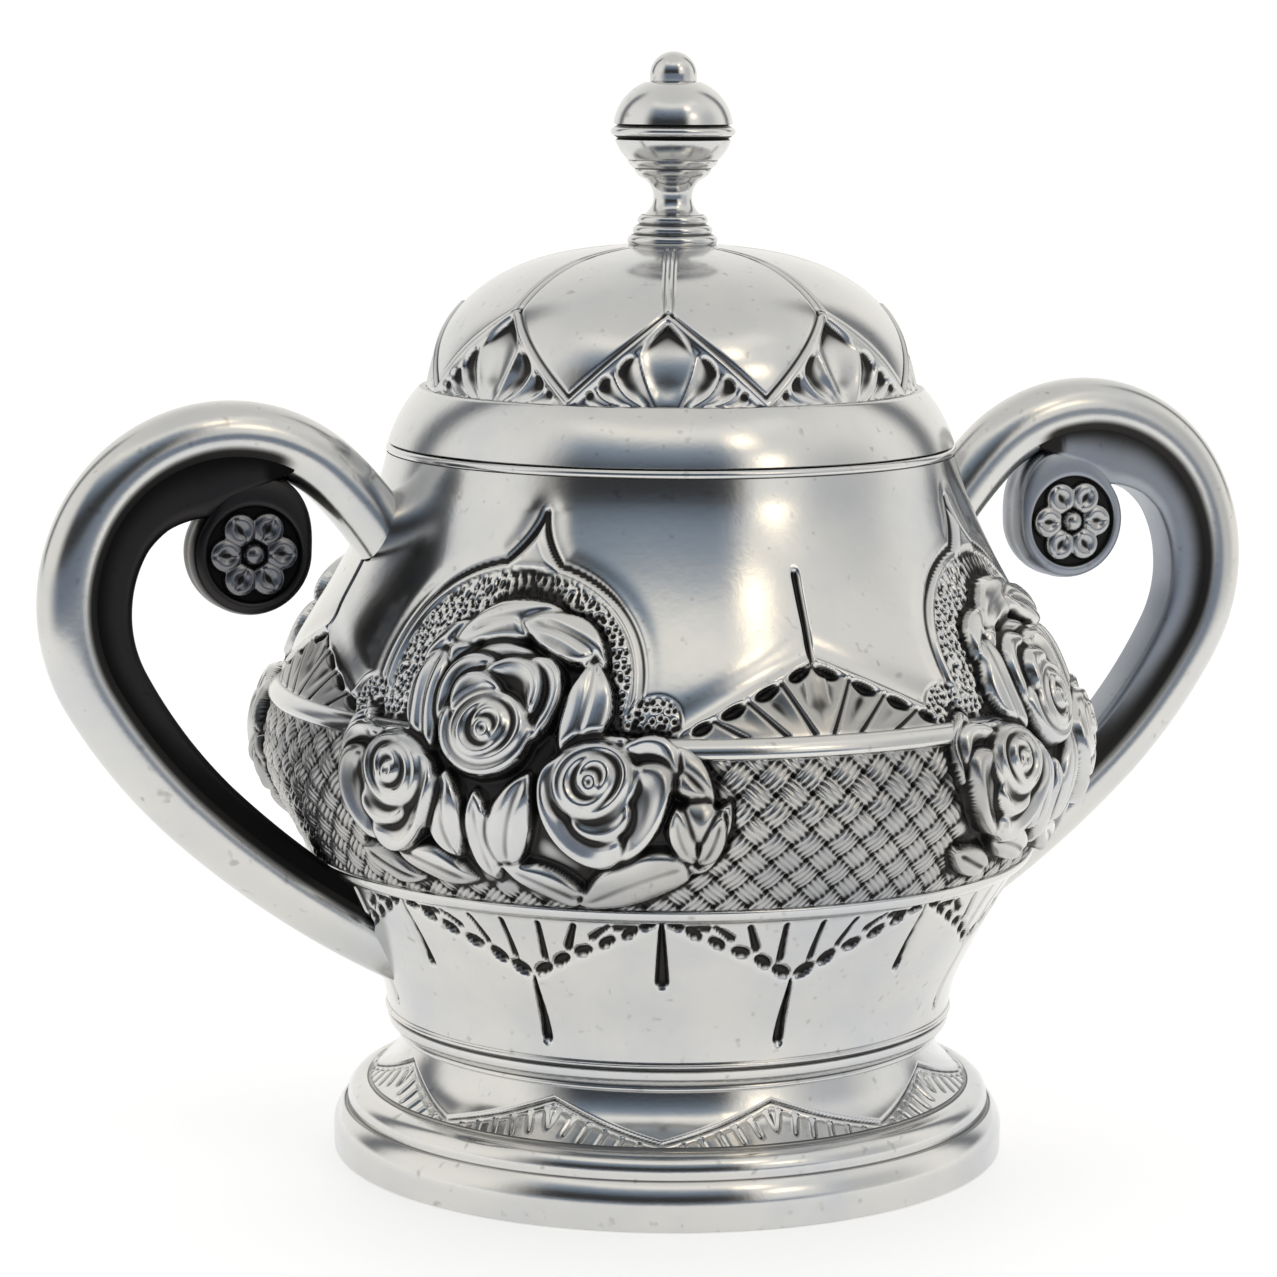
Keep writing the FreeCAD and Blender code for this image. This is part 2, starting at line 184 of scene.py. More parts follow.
def leaf(h, x, y, ends, half, level, bulge=1.3, vein=0.5, bow=0.0):
    """A pointed leaf from tip to tip with a sunk midrib; bow bends it to its left."""
    along, across, length = segment(x, y, *ends)
    t = np.clip(along, 0, 1)
    across = across - bow * 4 * t * (1 - t)
    half_here = half * np.sin(np.pi * t) ** 0.75
    past = np.maximum(np.maximum(-along, along - 1), 0) * length
    outside = np.where(past > 0, np.hypot(across, past), (np.abs(across) - half_here) * 0.9)
    share = np.clip(np.abs(across) / np.maximum(half_here, 0.05), 0, 1)
    crown = np.sqrt(np.maximum(1 - share ** 2 * 0.9, 0)) * (0.3 + 0.7 * np.sin(np.pi * t) ** 0.6)
    top = level + bulge * crown
    top = top - vein * bell(across, 0.55) * ramp(t, 0.0, 0.25) + 0.18 * np.sin(3.2 * np.pi * t) * share
    return lay(h, outside, top, FORM_GROOVE)


def petal(h, x, y, cx, cy, a, b, turn, level, rim=0.8, cup=0.5):
    """A rounded petal, dished in the middle with its rim rolled up."""
    outside, share = ellipse(x, y, cx, cy, a, b, turn)
    rolled = ramp(share, 0.42, 0.82) - 0.85 * ramp(share, 0.8, 1.03)
    top = level - cup * (1 - share ** 2) + rim * rolled
    return lay(h, outside, top, FORM_GROOVE)


# the rims of a rose's heart: share of its size, how far off centre, and which way
WHORL = ((1.00, 0.00, 0), (0.74, 0.08, 200), (0.50, 0.10, 40), (0.27, 0.09, 260))


def whorl(h, x, y, cx, cy, size, level):
    """The rolled heart of a rose: nested rounded rims, each a step higher than the last."""
    for n, (share, off, turn) in enumerate(WHORL):
        ox = cx + off * size * math.cos(math.radians(turn))
        oy = cy + off * size * math.sin(math.radians(turn))
        reach = ellipse(x, y, ox, oy, 1.08 * share * size, 0.94 * share * size, turn + 20)[1]
        inner = WHORL[n + 1][0] / share if n < len(WHORL) - 1 else 0.35
        across = np.clip((reach - inner) / (1 - inner), 0, 1)
        top = level + 0.2 * n + 0.6 * np.sin(np.pi * across ** 0.8)
        h = lay(h, (reach - 1) * share * size, top, 0.4, 0.3, 0.15)
    return h


def lay_all(h, x, y, form, rows):
    """Lay leaves or petals in order, the last on top."""
    for *place, shape in rows:
        h = form(h, x, y, *place, **shape)
    return h


# petals: centre, half width and height, turn, level
CROWNED_PETALS = (
    (0.0, 4.2, 8.0, 7.4, 0, 0.9, {}),
    (4.0, 3.4, 4.4, 6.6, -20, 1.7, {}),
    (-2.6, 2.6, 5.4, 7.0, 14, 1.9, {}),
    (1.4, 4.0, 4.6, 5.4, -30, 2.3, {"cup": 0.7}),
    (-0.6, -0.6, 6.4, 5.6, 0, 2.1, {}),
    (-1.6, 2.6, 3.6, 4.4, 34, 2.9, {"rim": 0.5, "cup": -0.6}),
)
FOLDED_PETALS = (
    (1.2, -1.6, 8.0, 7.4, 0, 0.9, {}),
    (5.6, 0.6, 4.4, 5.6, -36, 1.5, {}),
    (4.4, -3.8, 4.3, 7.2, -38, 1.9, {"cup": 0.2, "rim": 0.9}),
    (-1.6, -4.0, 4.4, 7.4, 30, 2.2, {"cup": 0.2, "rim": 0.9}),
    (1.2, -3.6, 3.9, 3.2, 0, 2.3, {"rim": 0.5, "cup": -0.5}),
    (0.0, 0.0, 5.6, 4.8, 0, 2.2, {"rim": 0.5}),
)
# leaves: both tips, half width, level
LEAVES = (
    ((-12.5, 14.5, -3.5, 24.0), 3.0, 0.5, {"bow": 1.4}),
    ((-9.4, 5.0, -9.8, 20.0), 2.9, 0.8, {"bow": 1.4}),
    ((-8.6, 21.0, 8.0, 24.2), 3.2, 0.7, {"bow": 1.9, "vein": 0.3}),
    ((0.5, 24.0, 12.4, 18.6), 3.2, 1.2, {"bow": 1.0}),
    ((9.4, 5.4, 10.8, 19.6), 3.3, 0.8, {"bow": -1.0}),
    ((-24.0, 1.5, -20.5, 11.0), 2.2, 0.5, {}),
    ((-22.0, -7.5, -12.0, -12.0), 2.2, 0.5, {}),
    ((-15.5, -6.6, -3.6, -11.0), 2.6, 0.8, {"bow": 0.7}),
    ((-6.2, 4.6, -5.2, -7.4), 2.8, 0.9, {"bow": -0.8}),
    ((-2.2, 2.5, -0.6, -10.6), 2.3, 0.7, {}),
    ((5.2, 5.0, 1.6, -8.8), 3.0, 0.9, {"bow": -0.9}),
    ((0.2, -7.6, 12.0, -13.6), 2.3, 0.6, {"bow": 0.6}),
    ((27.0, -5.6, 9.6, -13.4), 3.4, 0.7, {"bow": -1.0, "vein": 0.25}),
    ((18.0, 8.6, 28.5, 1.2), 2.6, 0.9, {"bow": 0.9}),
    ((30.5, 1.8, 24.5, -8.4), 2.1, 0.5, {}),
)
SEPALS = (
    ((23.6, 1.6, 25.6, -6.4), 1.7, 1.2, {"bulge": 1.2, "bow": -0.6}),
    ((29.4, 0.6, 25.6, -6.6), 1.4, 1.0, {"bulge": 1.0, "bow": 0.5}),
)


def crowned_rose(h, x, y, cx, cy):
    """The upper rose: tall petals folded over a low heart."""
    x, y = x - cx, y - cy
    h = lay_all(h, x, y, petal, CROWNED_PETALS)
    return whorl(h, x, y, 0, 0, 4.8, 2.6)


def folded_rose(h, x, y, cx, cy, mirror, scale=1.0):
    """A lower rose: heart above, two big petals crossing in a V below it."""
    x, y = (x - cx) * mirror / scale, (y - cy) / scale
    h = lay_all(h, x, y, petal, FOLDED_PETALS)
    return whorl(h, x, y, 0, 0.1, 4.5, 2.4)


def spray(h, x, y):
    """Three roses with leaves and a bud; x runs round the wall from the spray's middle."""
    h = lay_all(h, x, y, leaf, LEAVES)
    h = petal(h, x, y, 26.4, -1.4, 3.2, 3.6, 12, 0.9, rim=0.0, cup=-1.4)
    h = lay_all(h, x, y, leaf, SEPALS)
    h = folded_rose(h, x, y, -13.8, 3.6, -1, 0.95)
    h = folded_rose(h, x, y, 13.2, 4.2, 1)
    return crowned_rose(h, x, y, -0.8, 9.8)


def spray_mask(x, y):
    """Inside the spray's rough outline, where the band and wires give way to it."""
    lower = ellipse(x, y, 1.4, -0.5, 23.5, 10.5)[0]
    upper = ellipse(x, y, -0.6, 14.0, 11.0, 12.0)[0]
    return np.minimum(lower, upper)


def pits(x, y, pitch, depth, size):
    """Ring-matted ground: a jittered field of round punch marks."""
    best = np.full(x.shape, 9.0)
    col = np.floor(x / pitch)
    row = np.floor(y / pitch)
    for dc in (-1, 0, 1):
        for dr in (-1, 0, 1):
            c, r = col + dc, row + dr
            a = np.sin(c * 127.1 + r * 311.7) * 43758.5453
            b = np.sin(c * 269.5 + r * 183.3) * 28001.8384
            px = (c + 0.5 + 0.34 * (a - np.floor(a) - 0.5) * 2) * pitch
            py = (r + 0.5 + 0.34 * (b - np.floor(b) - 0.5) * 2) * pitch
            best = np.minimum(best, np.hypot(x - px, y - py))
    return -depth * (1 - ramp(best, size * 0.45, size * 1.2))


def medallion(h, x, y):
    """Stippled round ground behind the upper rose, under an ogee point."""
    cx, cy, radius = -1.2, 14.2, 17.2
    apex = 39.4
    round_edge = np.hypot(x - cx, y - cy) - radius
    drop = np.maximum(apex - y, 0)
    point = (np.abs(x + 0.10 * drop) - (0.16 * drop + 0.058 * drop ** 2)) * 0.75
    point = np.where(drop > 0, point, np.hypot(x, apex - y))
    point = np.where(drop > 14, 9.0, point)
    outline = np.minimum(round_edge - 1.5, point)
    above_wire = ramp(y, 9.0, 10.0)
    bold = mix(0.4, 0.75, ramp(y, 27, 31))
    h = h - (bold * bell(outline, 0.36) + 0.2 * bell(outline - 0.9, 1.1)) * above_wire
    h = h + 0.4 * ramp(-outline, 0.3, 1.4) * ramp(round_edge, 0.2, 1.2) * above_wire
    lobe = np.hypot(x - 19.4, y - 11.4) - 3.6
    lobe = np.minimum(lobe, np.hypot(x + 21.6, y - 11.4) - 3.6)
    ground = np.minimum(round_edge, lobe)
    h = h - 0.35 * bell(ground, 0.3) * above_wire
    inside = ramp(-ground, 0.0, 0.4) * above_wire
    return h + inside * (pits(x, y, 0.98, 0.55, 0.37) - 0.15)


def fan(h, x, y):
    """Sunburst triangle on the upper wire; x is the distance from its middle, y from its base."""
    half, tall = FAN_HALF, FAN_TALL
    inside = (1 - x / half - y / tall) / math.hypot(1 / half, 1 / tall)
    floor = ramp(inside, -0.25, 0.35) * ramp(y, -1.0, 0.0)
    h = h - 0.25 * floor - 0.3 * bell(inside + 1.8, 1.6) * ramp(y, -0.6, 0.4)
    h = h + 0.18 * bell(inside + 0.35, 0.35) * ramp(y, -0.6, 0.4)
    lines = ((1.3, 0.0, 4.9, 7.3), (5.0, -0.2, 9.7, 4.8), (10.2, -0.3, 14.6, 2.4))
    near = np.full(x.shape, 9.0)
    for ends in lines:
        along, across, length = segment(x, y, *ends)
        off = np.hypot(across, np.maximum(np.maximum(-along, along - 1), 0) * length)
        near = np.minimum(near, off)
    near = np.minimum(near, np.maximum(3.1 - x, 0) * 0.9 + 9 * ramp(x, 1.5, 2.5))
    h = h - floor * (0.4 * bell(near, 0.26) + 0.6 * ramp(near, 0.1, 2.6) * ramp(y, 0.0, 4.5) - 0.15)
    for cx, reach in ((1.9, 1.7), (6.6, 2.1), (11.4, 2.1), (15.7, 1.6)):
        cy = tall * (1 - cx / half) - 0.55
        share = ellipse(x, y, cx, cy, reach + 0.25, 0.85, -27)[1]
        h = h - 0.85 * ramp(1 - share, 0.0, 0.6)
    return stroke(h, x, y, (0.0, tall + 0.2, 0.0, 21.5), 0.38, 0.75, 0.55)


def weave(x, y):
    """Diagonal over-and-under strips, each of four fine cords."""
    pitch = WEAVE_R * FOLD / 18 / math.sqrt(2)
    a = (x + y) / math.sqrt(2) / pitch
    b = (x - y) / math.sqrt(2) / pitch
    top = np.full(x.shape, -9.0)
    for along, across, way in ((a, b, 1), (b, a, -1)):
        cell = np.floor(across)
        off = across - cell - 0.5
        rise = way * 0.34 * np.cos(np.pi * (along - 0.5 + cell))
        rounding = -1.1 * off ** 2 - 0.75 * ramp(np.abs(off), 0.40, 0.5)
        cords = -0.24 * (0.5 + 0.5 * np.cos(TAU * 4 * off))
        top = np.maximum(top, rise + rounding + cords)
    return top


def zigzag_below(h, x, y):
    """Punched zigzag under the lower wire; x from a point's middle, y from the wire down."""
    half, tall = EIGHTH / 2 * ZIGZAG_R, 10.4
    slope = math.degrees(math.atan2(tall, half))
    top = -17.0
    edge = (x / half * tall - (y - (top - tall))) * math.cos(math.radians(slope))
    under_wire = below_wire(y)
    h = h - 0.25 * bell(edge, 0.3) * under_wire
    h = h - 0.22 * ramp(-edge, -0.1, 0.5) * under_wire
    for n, cx in enumerate((1.6, 4.7, 7.7, 10.6, 13.3, 15.7)):
        cy = (top - tall) + cx / half * tall + 0.55
        jitter, tilt = 0.3 * math.sin(5.1 * n), 9 * math.sin(2.3 * n)     # punched by hand
        share = ellipse(x, y, cx + jitter, cy, 1.95 - 0.1 * n, 1.0 - 0.07 * n, slope + tilt)[1]
        h = h - 0.85 * ramp(1 - share, 0.0, 0.6) * under_wire
    for cx, lean in ((1.9, 0.5), (5.4, 1.5), (8.8, 2.3), (11.9, 2.4)):
        low = (top - tall) + cx / half * tall + 2.2
        h = stroke(h, x, y, (cx + 0.2, low, cx + lean, top - 0.9), 0.62, 0.75, 0.34)
    h = stroke(h, x, y, (0.0, top - tall - 0.3, 0.0, top - tall - 9.4), 0.26, 1.1, 0.95)
    return stroke(h, half - x, y, (0.0, top - 0.5, 0.0, top - 10.2), 0.3, 1.1, 1.0)


def wall_relief(angle, s, r):
    """Height of the chasing over the bowl's wall, in mm."""
    turn = from_spray(angle)
    x = turn * r
    from_fan = (FOLD / 2 - np.abs(turn)) * r
    eighth = from_eighth(angle) * ZIGZAG_R
    h = np.zeros(angle.shape)
    h = medallion(h, x, s)
    h = fan(h, from_fan, s - UPPER_WIRE_S - 1.6)
    band = ramp(s, LOWER_WIRE_S + 0.8, LOWER_WIRE_S + 1.6)
    band = band * (1 - ramp(s, UPPER_WIRE_S - 1.9, UPPER_WIRE_S - 1.0))
    h = mix(h, weave(WEAVE_R * angle, s) * ramp(spray_mask(x, s), -1.2, 0.0) - 0.1, band)
    h = zigzag_below(h, eighth, s)
    h = spray(h, x, s)
    return mix(blur(h, 1.35), blur(h, 0.6), ramp(spray_mask(x, s), 1.0, 2.2))     # soft roses, crisp weave


def wall_tone(angle, s, r):
    """Darker tone laid over the woven band, the fans and points and, less, among the roses."""
    x = from_spray(angle) * r
    band = ramp(s, LOWER_WIRE_S, LOWER_WIRE_S + 1.5) * (1 - ramp(s, UPPER_WIRE_S - 1.5, UPPER_WIRE_S))
    roses = ramp(-spray_mask(x, s), 0.0, 3.0)
    up = s - UPPER_WIRE_S - 1.6
    under_fan = FAN_TALL - up - FAN_TALL / FAN_HALF * (FOLD / 2 * r - np.abs(x))
    rays = ramp(up, -0.6, 0.4) * ramp(under_fan, 0.0, 0.6)
    points = below_wire(s) * ramp(s, -28.0, -24.0)
    return mix(0.36 * band + 0.42 * rays + 0.12 * points, 0.14, roses)


def dome_relief(angle, s, r):
    """Eight chased triangles round the lid with gouged fans in them."""
    x = np.abs(np.mod(angle, EIGHTH) - EIGHTH / 2) * DOME_R
    half, tall = EIGHTH / 2 * DOME_R, 12.4
    unit = math.hypot(1 / half, 1 / tall)
    inside = (1 - x / half - s / tall) / unit
    h = -0.4 * bell(inside + 0.75, 0.24) + 0.35 * bell(inside + 0.1, 0.5)
    h = h - 0.12 * ramp(inside, 0.35, 0.75)
    lines = ((1.3, -0.3, 3.7, 7.4), (2.9, -0.8, 6.9, 4.9), (4.7, -0.9, 9.4, 2.9), (7.0, -0.6, 11.2, 1.3))
    last = x
    for n, (foot, bow, tip_x, tip_y) in enumerate(lines):
        along, across, length = segment(x, s, foot, 0.0, tip_x, tip_y)
        t = np.clip(along, 0, 1)
        off = across - bow * 4 * t * (1 - t)
        if n == 0:
            here = off > 0
            share = 0.5 + 0.5 * x / np.maximum(x + off, 0.05)
        else:
            here = (off > 0) & (last > 0)
            share = last / np.maximum(last + off, 0.05)
        share = np.clip(share, 0, 1)
        scoop = 0.8 * np.sin(np.pi * (share if n == 0 else share ** 1.4)) ** 0.7
        fade = ramp(inside - 0.8 * (2 * share - 1) ** 2, 0.4, 0.9) * (0.3 + 0.7 * ramp(s, 0.0, 3.0))
        h = np.where(here, h - scoop * fade, h)
        last = -off
    off = x * r / DOME_R
    up = ramp(s, tall - 0.5, tall + 0.5)
    return blur(h - up * 0.3 * bell(off - 0.55, 0.22) * (1 - ramp(s, 34.0, 35.0)), 0.7)


def flare_relief(angle, s, r):
    """Zigzag and hatching on the foot's flare."""
    x, half = from_eighth(angle) * FLARE_R, EIGHTH / 2 * FLARE_R
    low, high, pitch = 1.9, 7.4, 2.35             # the zigzag's points, and the hatching's spacing
    line = low + (high - low) * x / half
    off = (s - line) * 0.93
    h = -0.5 * bell(off, 0.22) - 0.25 * bell(off - 0.7, 0.3)
    hatch = np.abs(np.mod(x / pitch + 0.5 * (s - line) / 4.0, 1.0) - 0.5) * pitch
    length = ramp(off, 0.4, 0.8) * (1 - ramp(off, 3.0, 4.4))
    h = h - 0.5 * bell(hatch, 0.3) * length - 0.3 * ramp(off, 0.0, 0.3)
    return h


# ---------------------------------------------------------------- meshes
def finish_mesh(name, points, faces, cavity, normals=None):
    mesh = bpy.data.meshes.new(name)
    mesh.vertices.add(len(points))
    mesh.vertices.foreach_set("co", (points * MM).astype(np.float32).ravel())
    mesh.loops.add(faces.size)
    mesh.loops.foreach_set("vertex_index", faces.astype(np.int32).ravel())
    mesh.polygons.add(len(faces))
    mesh.polygons.foreach_set("loop_start", np.arange(0, faces.size, faces.shape[1], dtype=np.int32))
    mesh.polygons.foreach_set("use_smooth", np.full(len(faces), True))
    mesh.update(calc_edges=True)
    layer = mesh.attributes.new("cavity", "FLOAT", "POINT")
    layer.data.foreach_set("value", np.clip(cavity, 0, 1).astype(np.float32).ravel())
    if normals is not None:
        mesh.normals_split_custom_set_from_vertices(normals.tolist())
    mesh.validate()
    piece = bpy.data.objects.new(name, mesh)
    bpy.context.scene.collection.objects.link(piece)
    return piece


def grid_faces(rows, cols):
    i, j = np.meshgrid(np.arange(rows - 1), np.arange(cols - 1), indexing="ij")
    a = (i * cols + j).ravel()
    return np.column_stack([a, a + 1, a + cols + 1, a + cols])


def ring_faces(rows, cols):
    """Faces between closed rings of points."""
    i, j = np.meshgrid(np.arange(rows - 1), np.arange(cols), indexing="ij")
    a, b = i * cols + j, i * cols + (j + 1) % cols
    return np.column_stack([v.ravel() for v in (a, b, b + cols, a + cols)])


def cavity_of(h, broad):
    """How far each point lies below the metal round it, 0 to 1."""
    near = np.clip((blur(h, 2.2) - h) / 0.2, 0, 1)
    far = np.clip((blur(h, broad) - h - 0.1) / 0.55, 0, 1)
    return 0.75 * near + 0.85 * far


def chased_sheet(name, path, s, start, stop, cols, relief, tone=None, broad=8.0):
    """One sector of a turned surface with its relief; path runs upward, angles run toward +X."""
    pad = 20
    step = (stop - start) / (cols - 1)
    angles = start + step * np.arange(-pad, cols + pad)
    r, z = path.T
    dr, dz = np.gradient(r), np.gradient(z)
    size = np.hypot(dr, dz)
    nr, nz = dz / size, -dr / size
    angle = np.broadcast_to(angles, (len(r), len(angles)))
    h = relief(angle, np.broadcast_to(s[:, None], angle.shape), np.broadcast_to(r[:, None], angle.shape))
    reach = r[:, None] + nr[:, None] * h
    place = np.stack([reach * np.sin(angle), -reach * np.cos(angle),
                      z[:, None] + nz[:, None] * h], axis=-1)
    across = np.gradient(place, axis=1)
    along = np.gradient(place, axis=0)
    normals = np.cross(across, along)
    normals /= np.linalg.norm(normals, axis=-1, keepdims=True)
    cavity = cavity_of(h, broad)
    if tone is not None:
        cavity = cavity + tone(angle, s[:, None], r[:, None])
    keep = slice(pad, pad + cols)
    place, normals, cavity = place[:, keep], normals[:, keep], cavity[:, keep]
    faces = grid_faces(len(r), cols)
    return finish_mesh(name, place.reshape(-1, 3), faces, cavity.ravel(), normals.reshape(-1, 3))


def lathe(name, outline, segments, cavity=None, closed=True):
    """A turned piece from an outline of (radius, height) points, closed unless it meets the axis."""
    outline = np.array(outline, float)
    apart = np.hypot(*(outline[0] - outline[-1])) > 1e-6
    if closed and apart and max(outline[0, 0], outline[-1, 0]) > 0:
        outline = np.vstack([outline, outline[:1]])
    angles = np.linspace(0, TAU, segments, endpoint=False)
    rows = len(outline)
    r, z = outline[:, :1], outline[:, 1:]
    place = np.stack(np.broadcast_arrays(r * np.sin(angles), -r * np.cos(angles), z), axis=-1)
    shade = np.resize(0.0 if cavity is None else np.array(cavity, float), rows)
    piece = finish_mesh(name, place.reshape(-1, 3), ring_faces(rows, segments), np.repeat(shade, segments))
    weld(piece)
    piece.data.set_sharp_from_angle(angle=math.radians(32))
    return piece


def weld(piece):
    work = bmesh.new()
    work.from_mesh(piece.data)
    bmesh.ops.remove_doubles(work, verts=work.verts, dist=1e-7)
    bmesh.ops.recalc_face_normals(work, faces=work.faces)
    work.to_mesh(piece.data)
    work.free()


def arc_points(a, mid, b, count=14):
    """Points on the circle through three points."""
    (ax, ay), (bx, by), (cx, cy) = a, mid, b
    d = 2 * (ax * (by - cy) + bx * (cy - ay) + cx * (ay - by))
    sa, sb, sc = ax * ax + ay * ay, bx * bx + by * by, cx * cx + cy * cy
    ox = (sa * (by - cy) + sb * (cy - ay) + sc * (ay - by)) / d
    oy = (sa * (cx - bx) + sb * (ax - cx) + sc * (bx - ax)) / d
    radius = math.hypot(ax - ox, ay - oy)
    t0 = math.atan2(ay - oy, ax - ox)
    tm = math.atan2(by - oy, bx - ox)
    t1 = math.atan2(cy - oy, cx - ox)
    while tm - t0 > math.pi:
        tm -= TAU
    while tm - t0 < -math.pi:
        tm += TAU
    while t1 - tm > math.pi:
        t1 -= TAU
    while t1 - tm < -math.pi:
        t1 += TAU
    return [(ox + radius * math.cos(t), oy + radius * math.sin(t)) for t in np.linspace(t0, t1, count)]


def place_piece(piece, material, body, node):
    piece.data.materials.append(material)
    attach(piece, body)
    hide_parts(node)


def turned(name, outline, segments, material, body, node, **shape):
    place_piece(lathe(name, outline, segments, **shape), material, body, node)


# ---------------------------------------------------------------- materials
def node_tool(tree):
    def add(kind, **sockets):
        node = tree.nodes.new(kind)
        for key, value in sockets.items():
            if key.startswith("_"):
                setattr(node, key[1:], value)
            else:
                node.inputs[key.replace("_", " ")].default_value = value
        return node
    return add


def silver(name, clean, dark, rough, haze=0.06):
    """Polished silver, dark where the cavity attribute is high: oxide in hollows and painted shade in
    creases; with wear, haze and scratches.
    """
    material = bpy.data.materials.new(name)
    material.use_nodes = True
    tree = material.node_tree
    tree.nodes.clear()
    add = node_tool(tree)
    link = tree.links.new
    coord = add("ShaderNodeTexCoord")

    def noise(scale, detail, **more):
        node = add("ShaderNodeTexNoise", Scale=scale, Detail=detail, **more)
        link(coord.outputs["Object"], node.inputs["Vector"])
        return node.outputs["Fac"]

    def spread(value, low, high, **more):
        node = add("ShaderNodeMapRange", From_Min=low, From_Max=high, **more)
        link(value, node.inputs["Value"])
        return node.outputs[0]

    def scaled(value, factor, plus):
        node = add("ShaderNodeMath", _operation="MULTIPLY_ADD")
        link(value, node.inputs[0])
        node.inputs[1].default_value = factor
        if isinstance(plus, float):
            node.inputs[2].default_value = plus
        else:
            link(plus, node.inputs[2])
        return node.outputs[0]

    def mixed(amount, under, over):
        node = add("ShaderNodeMixRGB", Color2=(*over, 1))
        link(amount, node.inputs["Fac"])
        if isinstance(under, tuple):
            node.inputs["Color1"].default_value = (*under, 1)
        else:
            link(under, node.inputs["Color1"])
        return node.outputs[0]

    out = add("ShaderNodeOutputMaterial")
    shader = add("ShaderNodeBsdfPrincipled", Metallic=1.0)
    link(shader.outputs[0], out.inputs[0])
    cavity = add("ShaderNodeAttribute", _attribute_name="cavity").outputs["Fac"]
    cloud = noise(38.0, 5.0, Roughness=0.6)
    # darkening from the cavity attribute: oxide in the chasing's hollows and painted shade in creases
    oxide_and_shade = spread(scaled(cloud, 0.25, cavity), 0.22, 0.95, _interpolation_type="SMOOTHSTEP")
    cooler = (clean[0] * 0.80, clean[1] * 0.84, clean[2] * 0.92)
    specked = tuple(0.72 * part for part in clean)
    colour = mixed(spread(cloud, 0.42, 0.75), clean, cooler)
    colour = mixed(spread(noise(620.0, 1.0), 0.68, 0.80), colour, specked)
    link(mixed(oxide_and_shade, colour, dark), shader.inputs["Base Color"])
    hazy = scaled(cloud, haze, rough)
    link(scaled(oxide_and_shade, 0.35, hazy), shader.inputs["Roughness"])
    dent = add("ShaderNodeBump", Strength=0.02, Distance=0.004)
    link(noise(60.0, 2.0), dent.inputs["Height"])
    scratch = add("ShaderNodeBump", Strength=0.05, Distance=0.0002)
    link(noise(900.0, 3.0, Roughness=0.6), scratch.inputs["Height"])
    link(dent.outputs[0], scratch.inputs["Normal"])
    link(scratch.outputs[0], shader.inputs["Normal"])
    return material


CLEAN = (0.68, 0.67, 0.645)
DARK = (0.040, 0.038, 0.037)
BLACK = (0.012, 0.012, 0.012)
wall_silver = silver("wall_silver", CLEAN, DARK, 0.14)
mount_silver = silver("mount_silver", (0.69, 0.68, 0.655), DARK, 0.14)
handle_silver = silver("handle_silver", (0.67, 0.66, 0.63), DARK, 0.17)
# painted shade: the left handle's strap is painted near black, far darker than the right's
left_strap_silver_painted_shade = silver("left_strap_silver_painted_shade", (0.036, 0.034, 0.034), BLACK, 0.22, haze=0.25)
right_strap_silver = silver("right_strap_silver", (0.34, 0.36, 0.395), DARK, 0.24, haze=0.25)
# painted shade: the left flower is painted darker than the right one
left_rosette_silver_painted_shade = silver("left_rosette_silver_painted_shade", (0.19, 0.19, 0.20), (0.02, 0.02, 0.02), 0.22)
right_rosette_silver = silver("right_rosette_silver", (0.46, 0.46, 0.46), DARK, 0.2)
inside_silver = silver("inside_silver", (0.77, 0.755, 0.72), DARK, 0.28, haze=0.15)
brass = silver("worn_brass", (0.66, 0.50, 0.24), (0.05, 0.035, 0.02), 0.3)

# ---------------------------------------------------------------- bowl
wall_fine, wall_s = smooth_path(WALL, 4000)
belly_s = np.interp(BELLY_Z, wall_fine[:, 1], wall_s)


def wall_s_at(z):
    return float(np.interp(z, wall_fine[:, 1], wall_s) - belly_s)


def wall_r_at(z):
    return np.interp(z, wall_fine[:, 1], wall_fine[:, 0])


UPPER_WIRE_S = wall_s_at(UPPER_WIRE_Z)
LOWER_WIRE_S = wall_s_at(LOWER_WIRE_Z)
total = wall_s[-1]
# rows of the wall's mesh: close together where the chasing is fine
ROW_BANDS = ((-belly_s, -38.5, 3), (-38.5, -18.0, 48), (-18.0, 27.0, 212), (27.0, 41.0, 34),
             (41.0, total - belly_s, 4))
rows_s = [np.linspace(low, high, rows, endpoint=False) for low, high, rows in ROW_BANDS]
rows_s = np.concatenate(rows_s + [[total - belly_s]])
wall_path, wall_at = smooth_path(WALL, (rows_s + belly_s) / total)
EIGHTHS = ("front_a", "front_b", "right_a", "right_b", "back_a", "back_b", "left_a", "left_b")
QUADRANTS = ("front_right", "back_right", "back_left", "front_left")
for n, name in enumerate(EIGHTHS):
    sheet = chased_sheet("wall_" + name, wall_path, wall_at - belly_s, n * EIGHTH, (n + 1) * EIGHTH, 241,
                         wall_relief, wall_tone)
    place_piece(sheet, wall_silver, "bowl", "bowl_body")

LINING = 1.9                    # from the wall's outside; clear of the deepest chasing
lining_path = smooth_path([(r - LINING, z) for r, z in WALL[1:]], 70)[0]
lining = [(0, 21.7), (35.2, 21.8)] + [tuple(p) for p in lining_path[2:]] + [(38.5, 96.3)]
turned("bowl_lining", lining, 128, inside_silver, "bowl", "bowl_body", closed=False)
underside = [(0, 20.55), (38.7, 20.55), (38.7, 21.1), (0, 21.1)]
turned("bowl_underside", underside, 96, inside_silver, "bowl", "bowl_body")


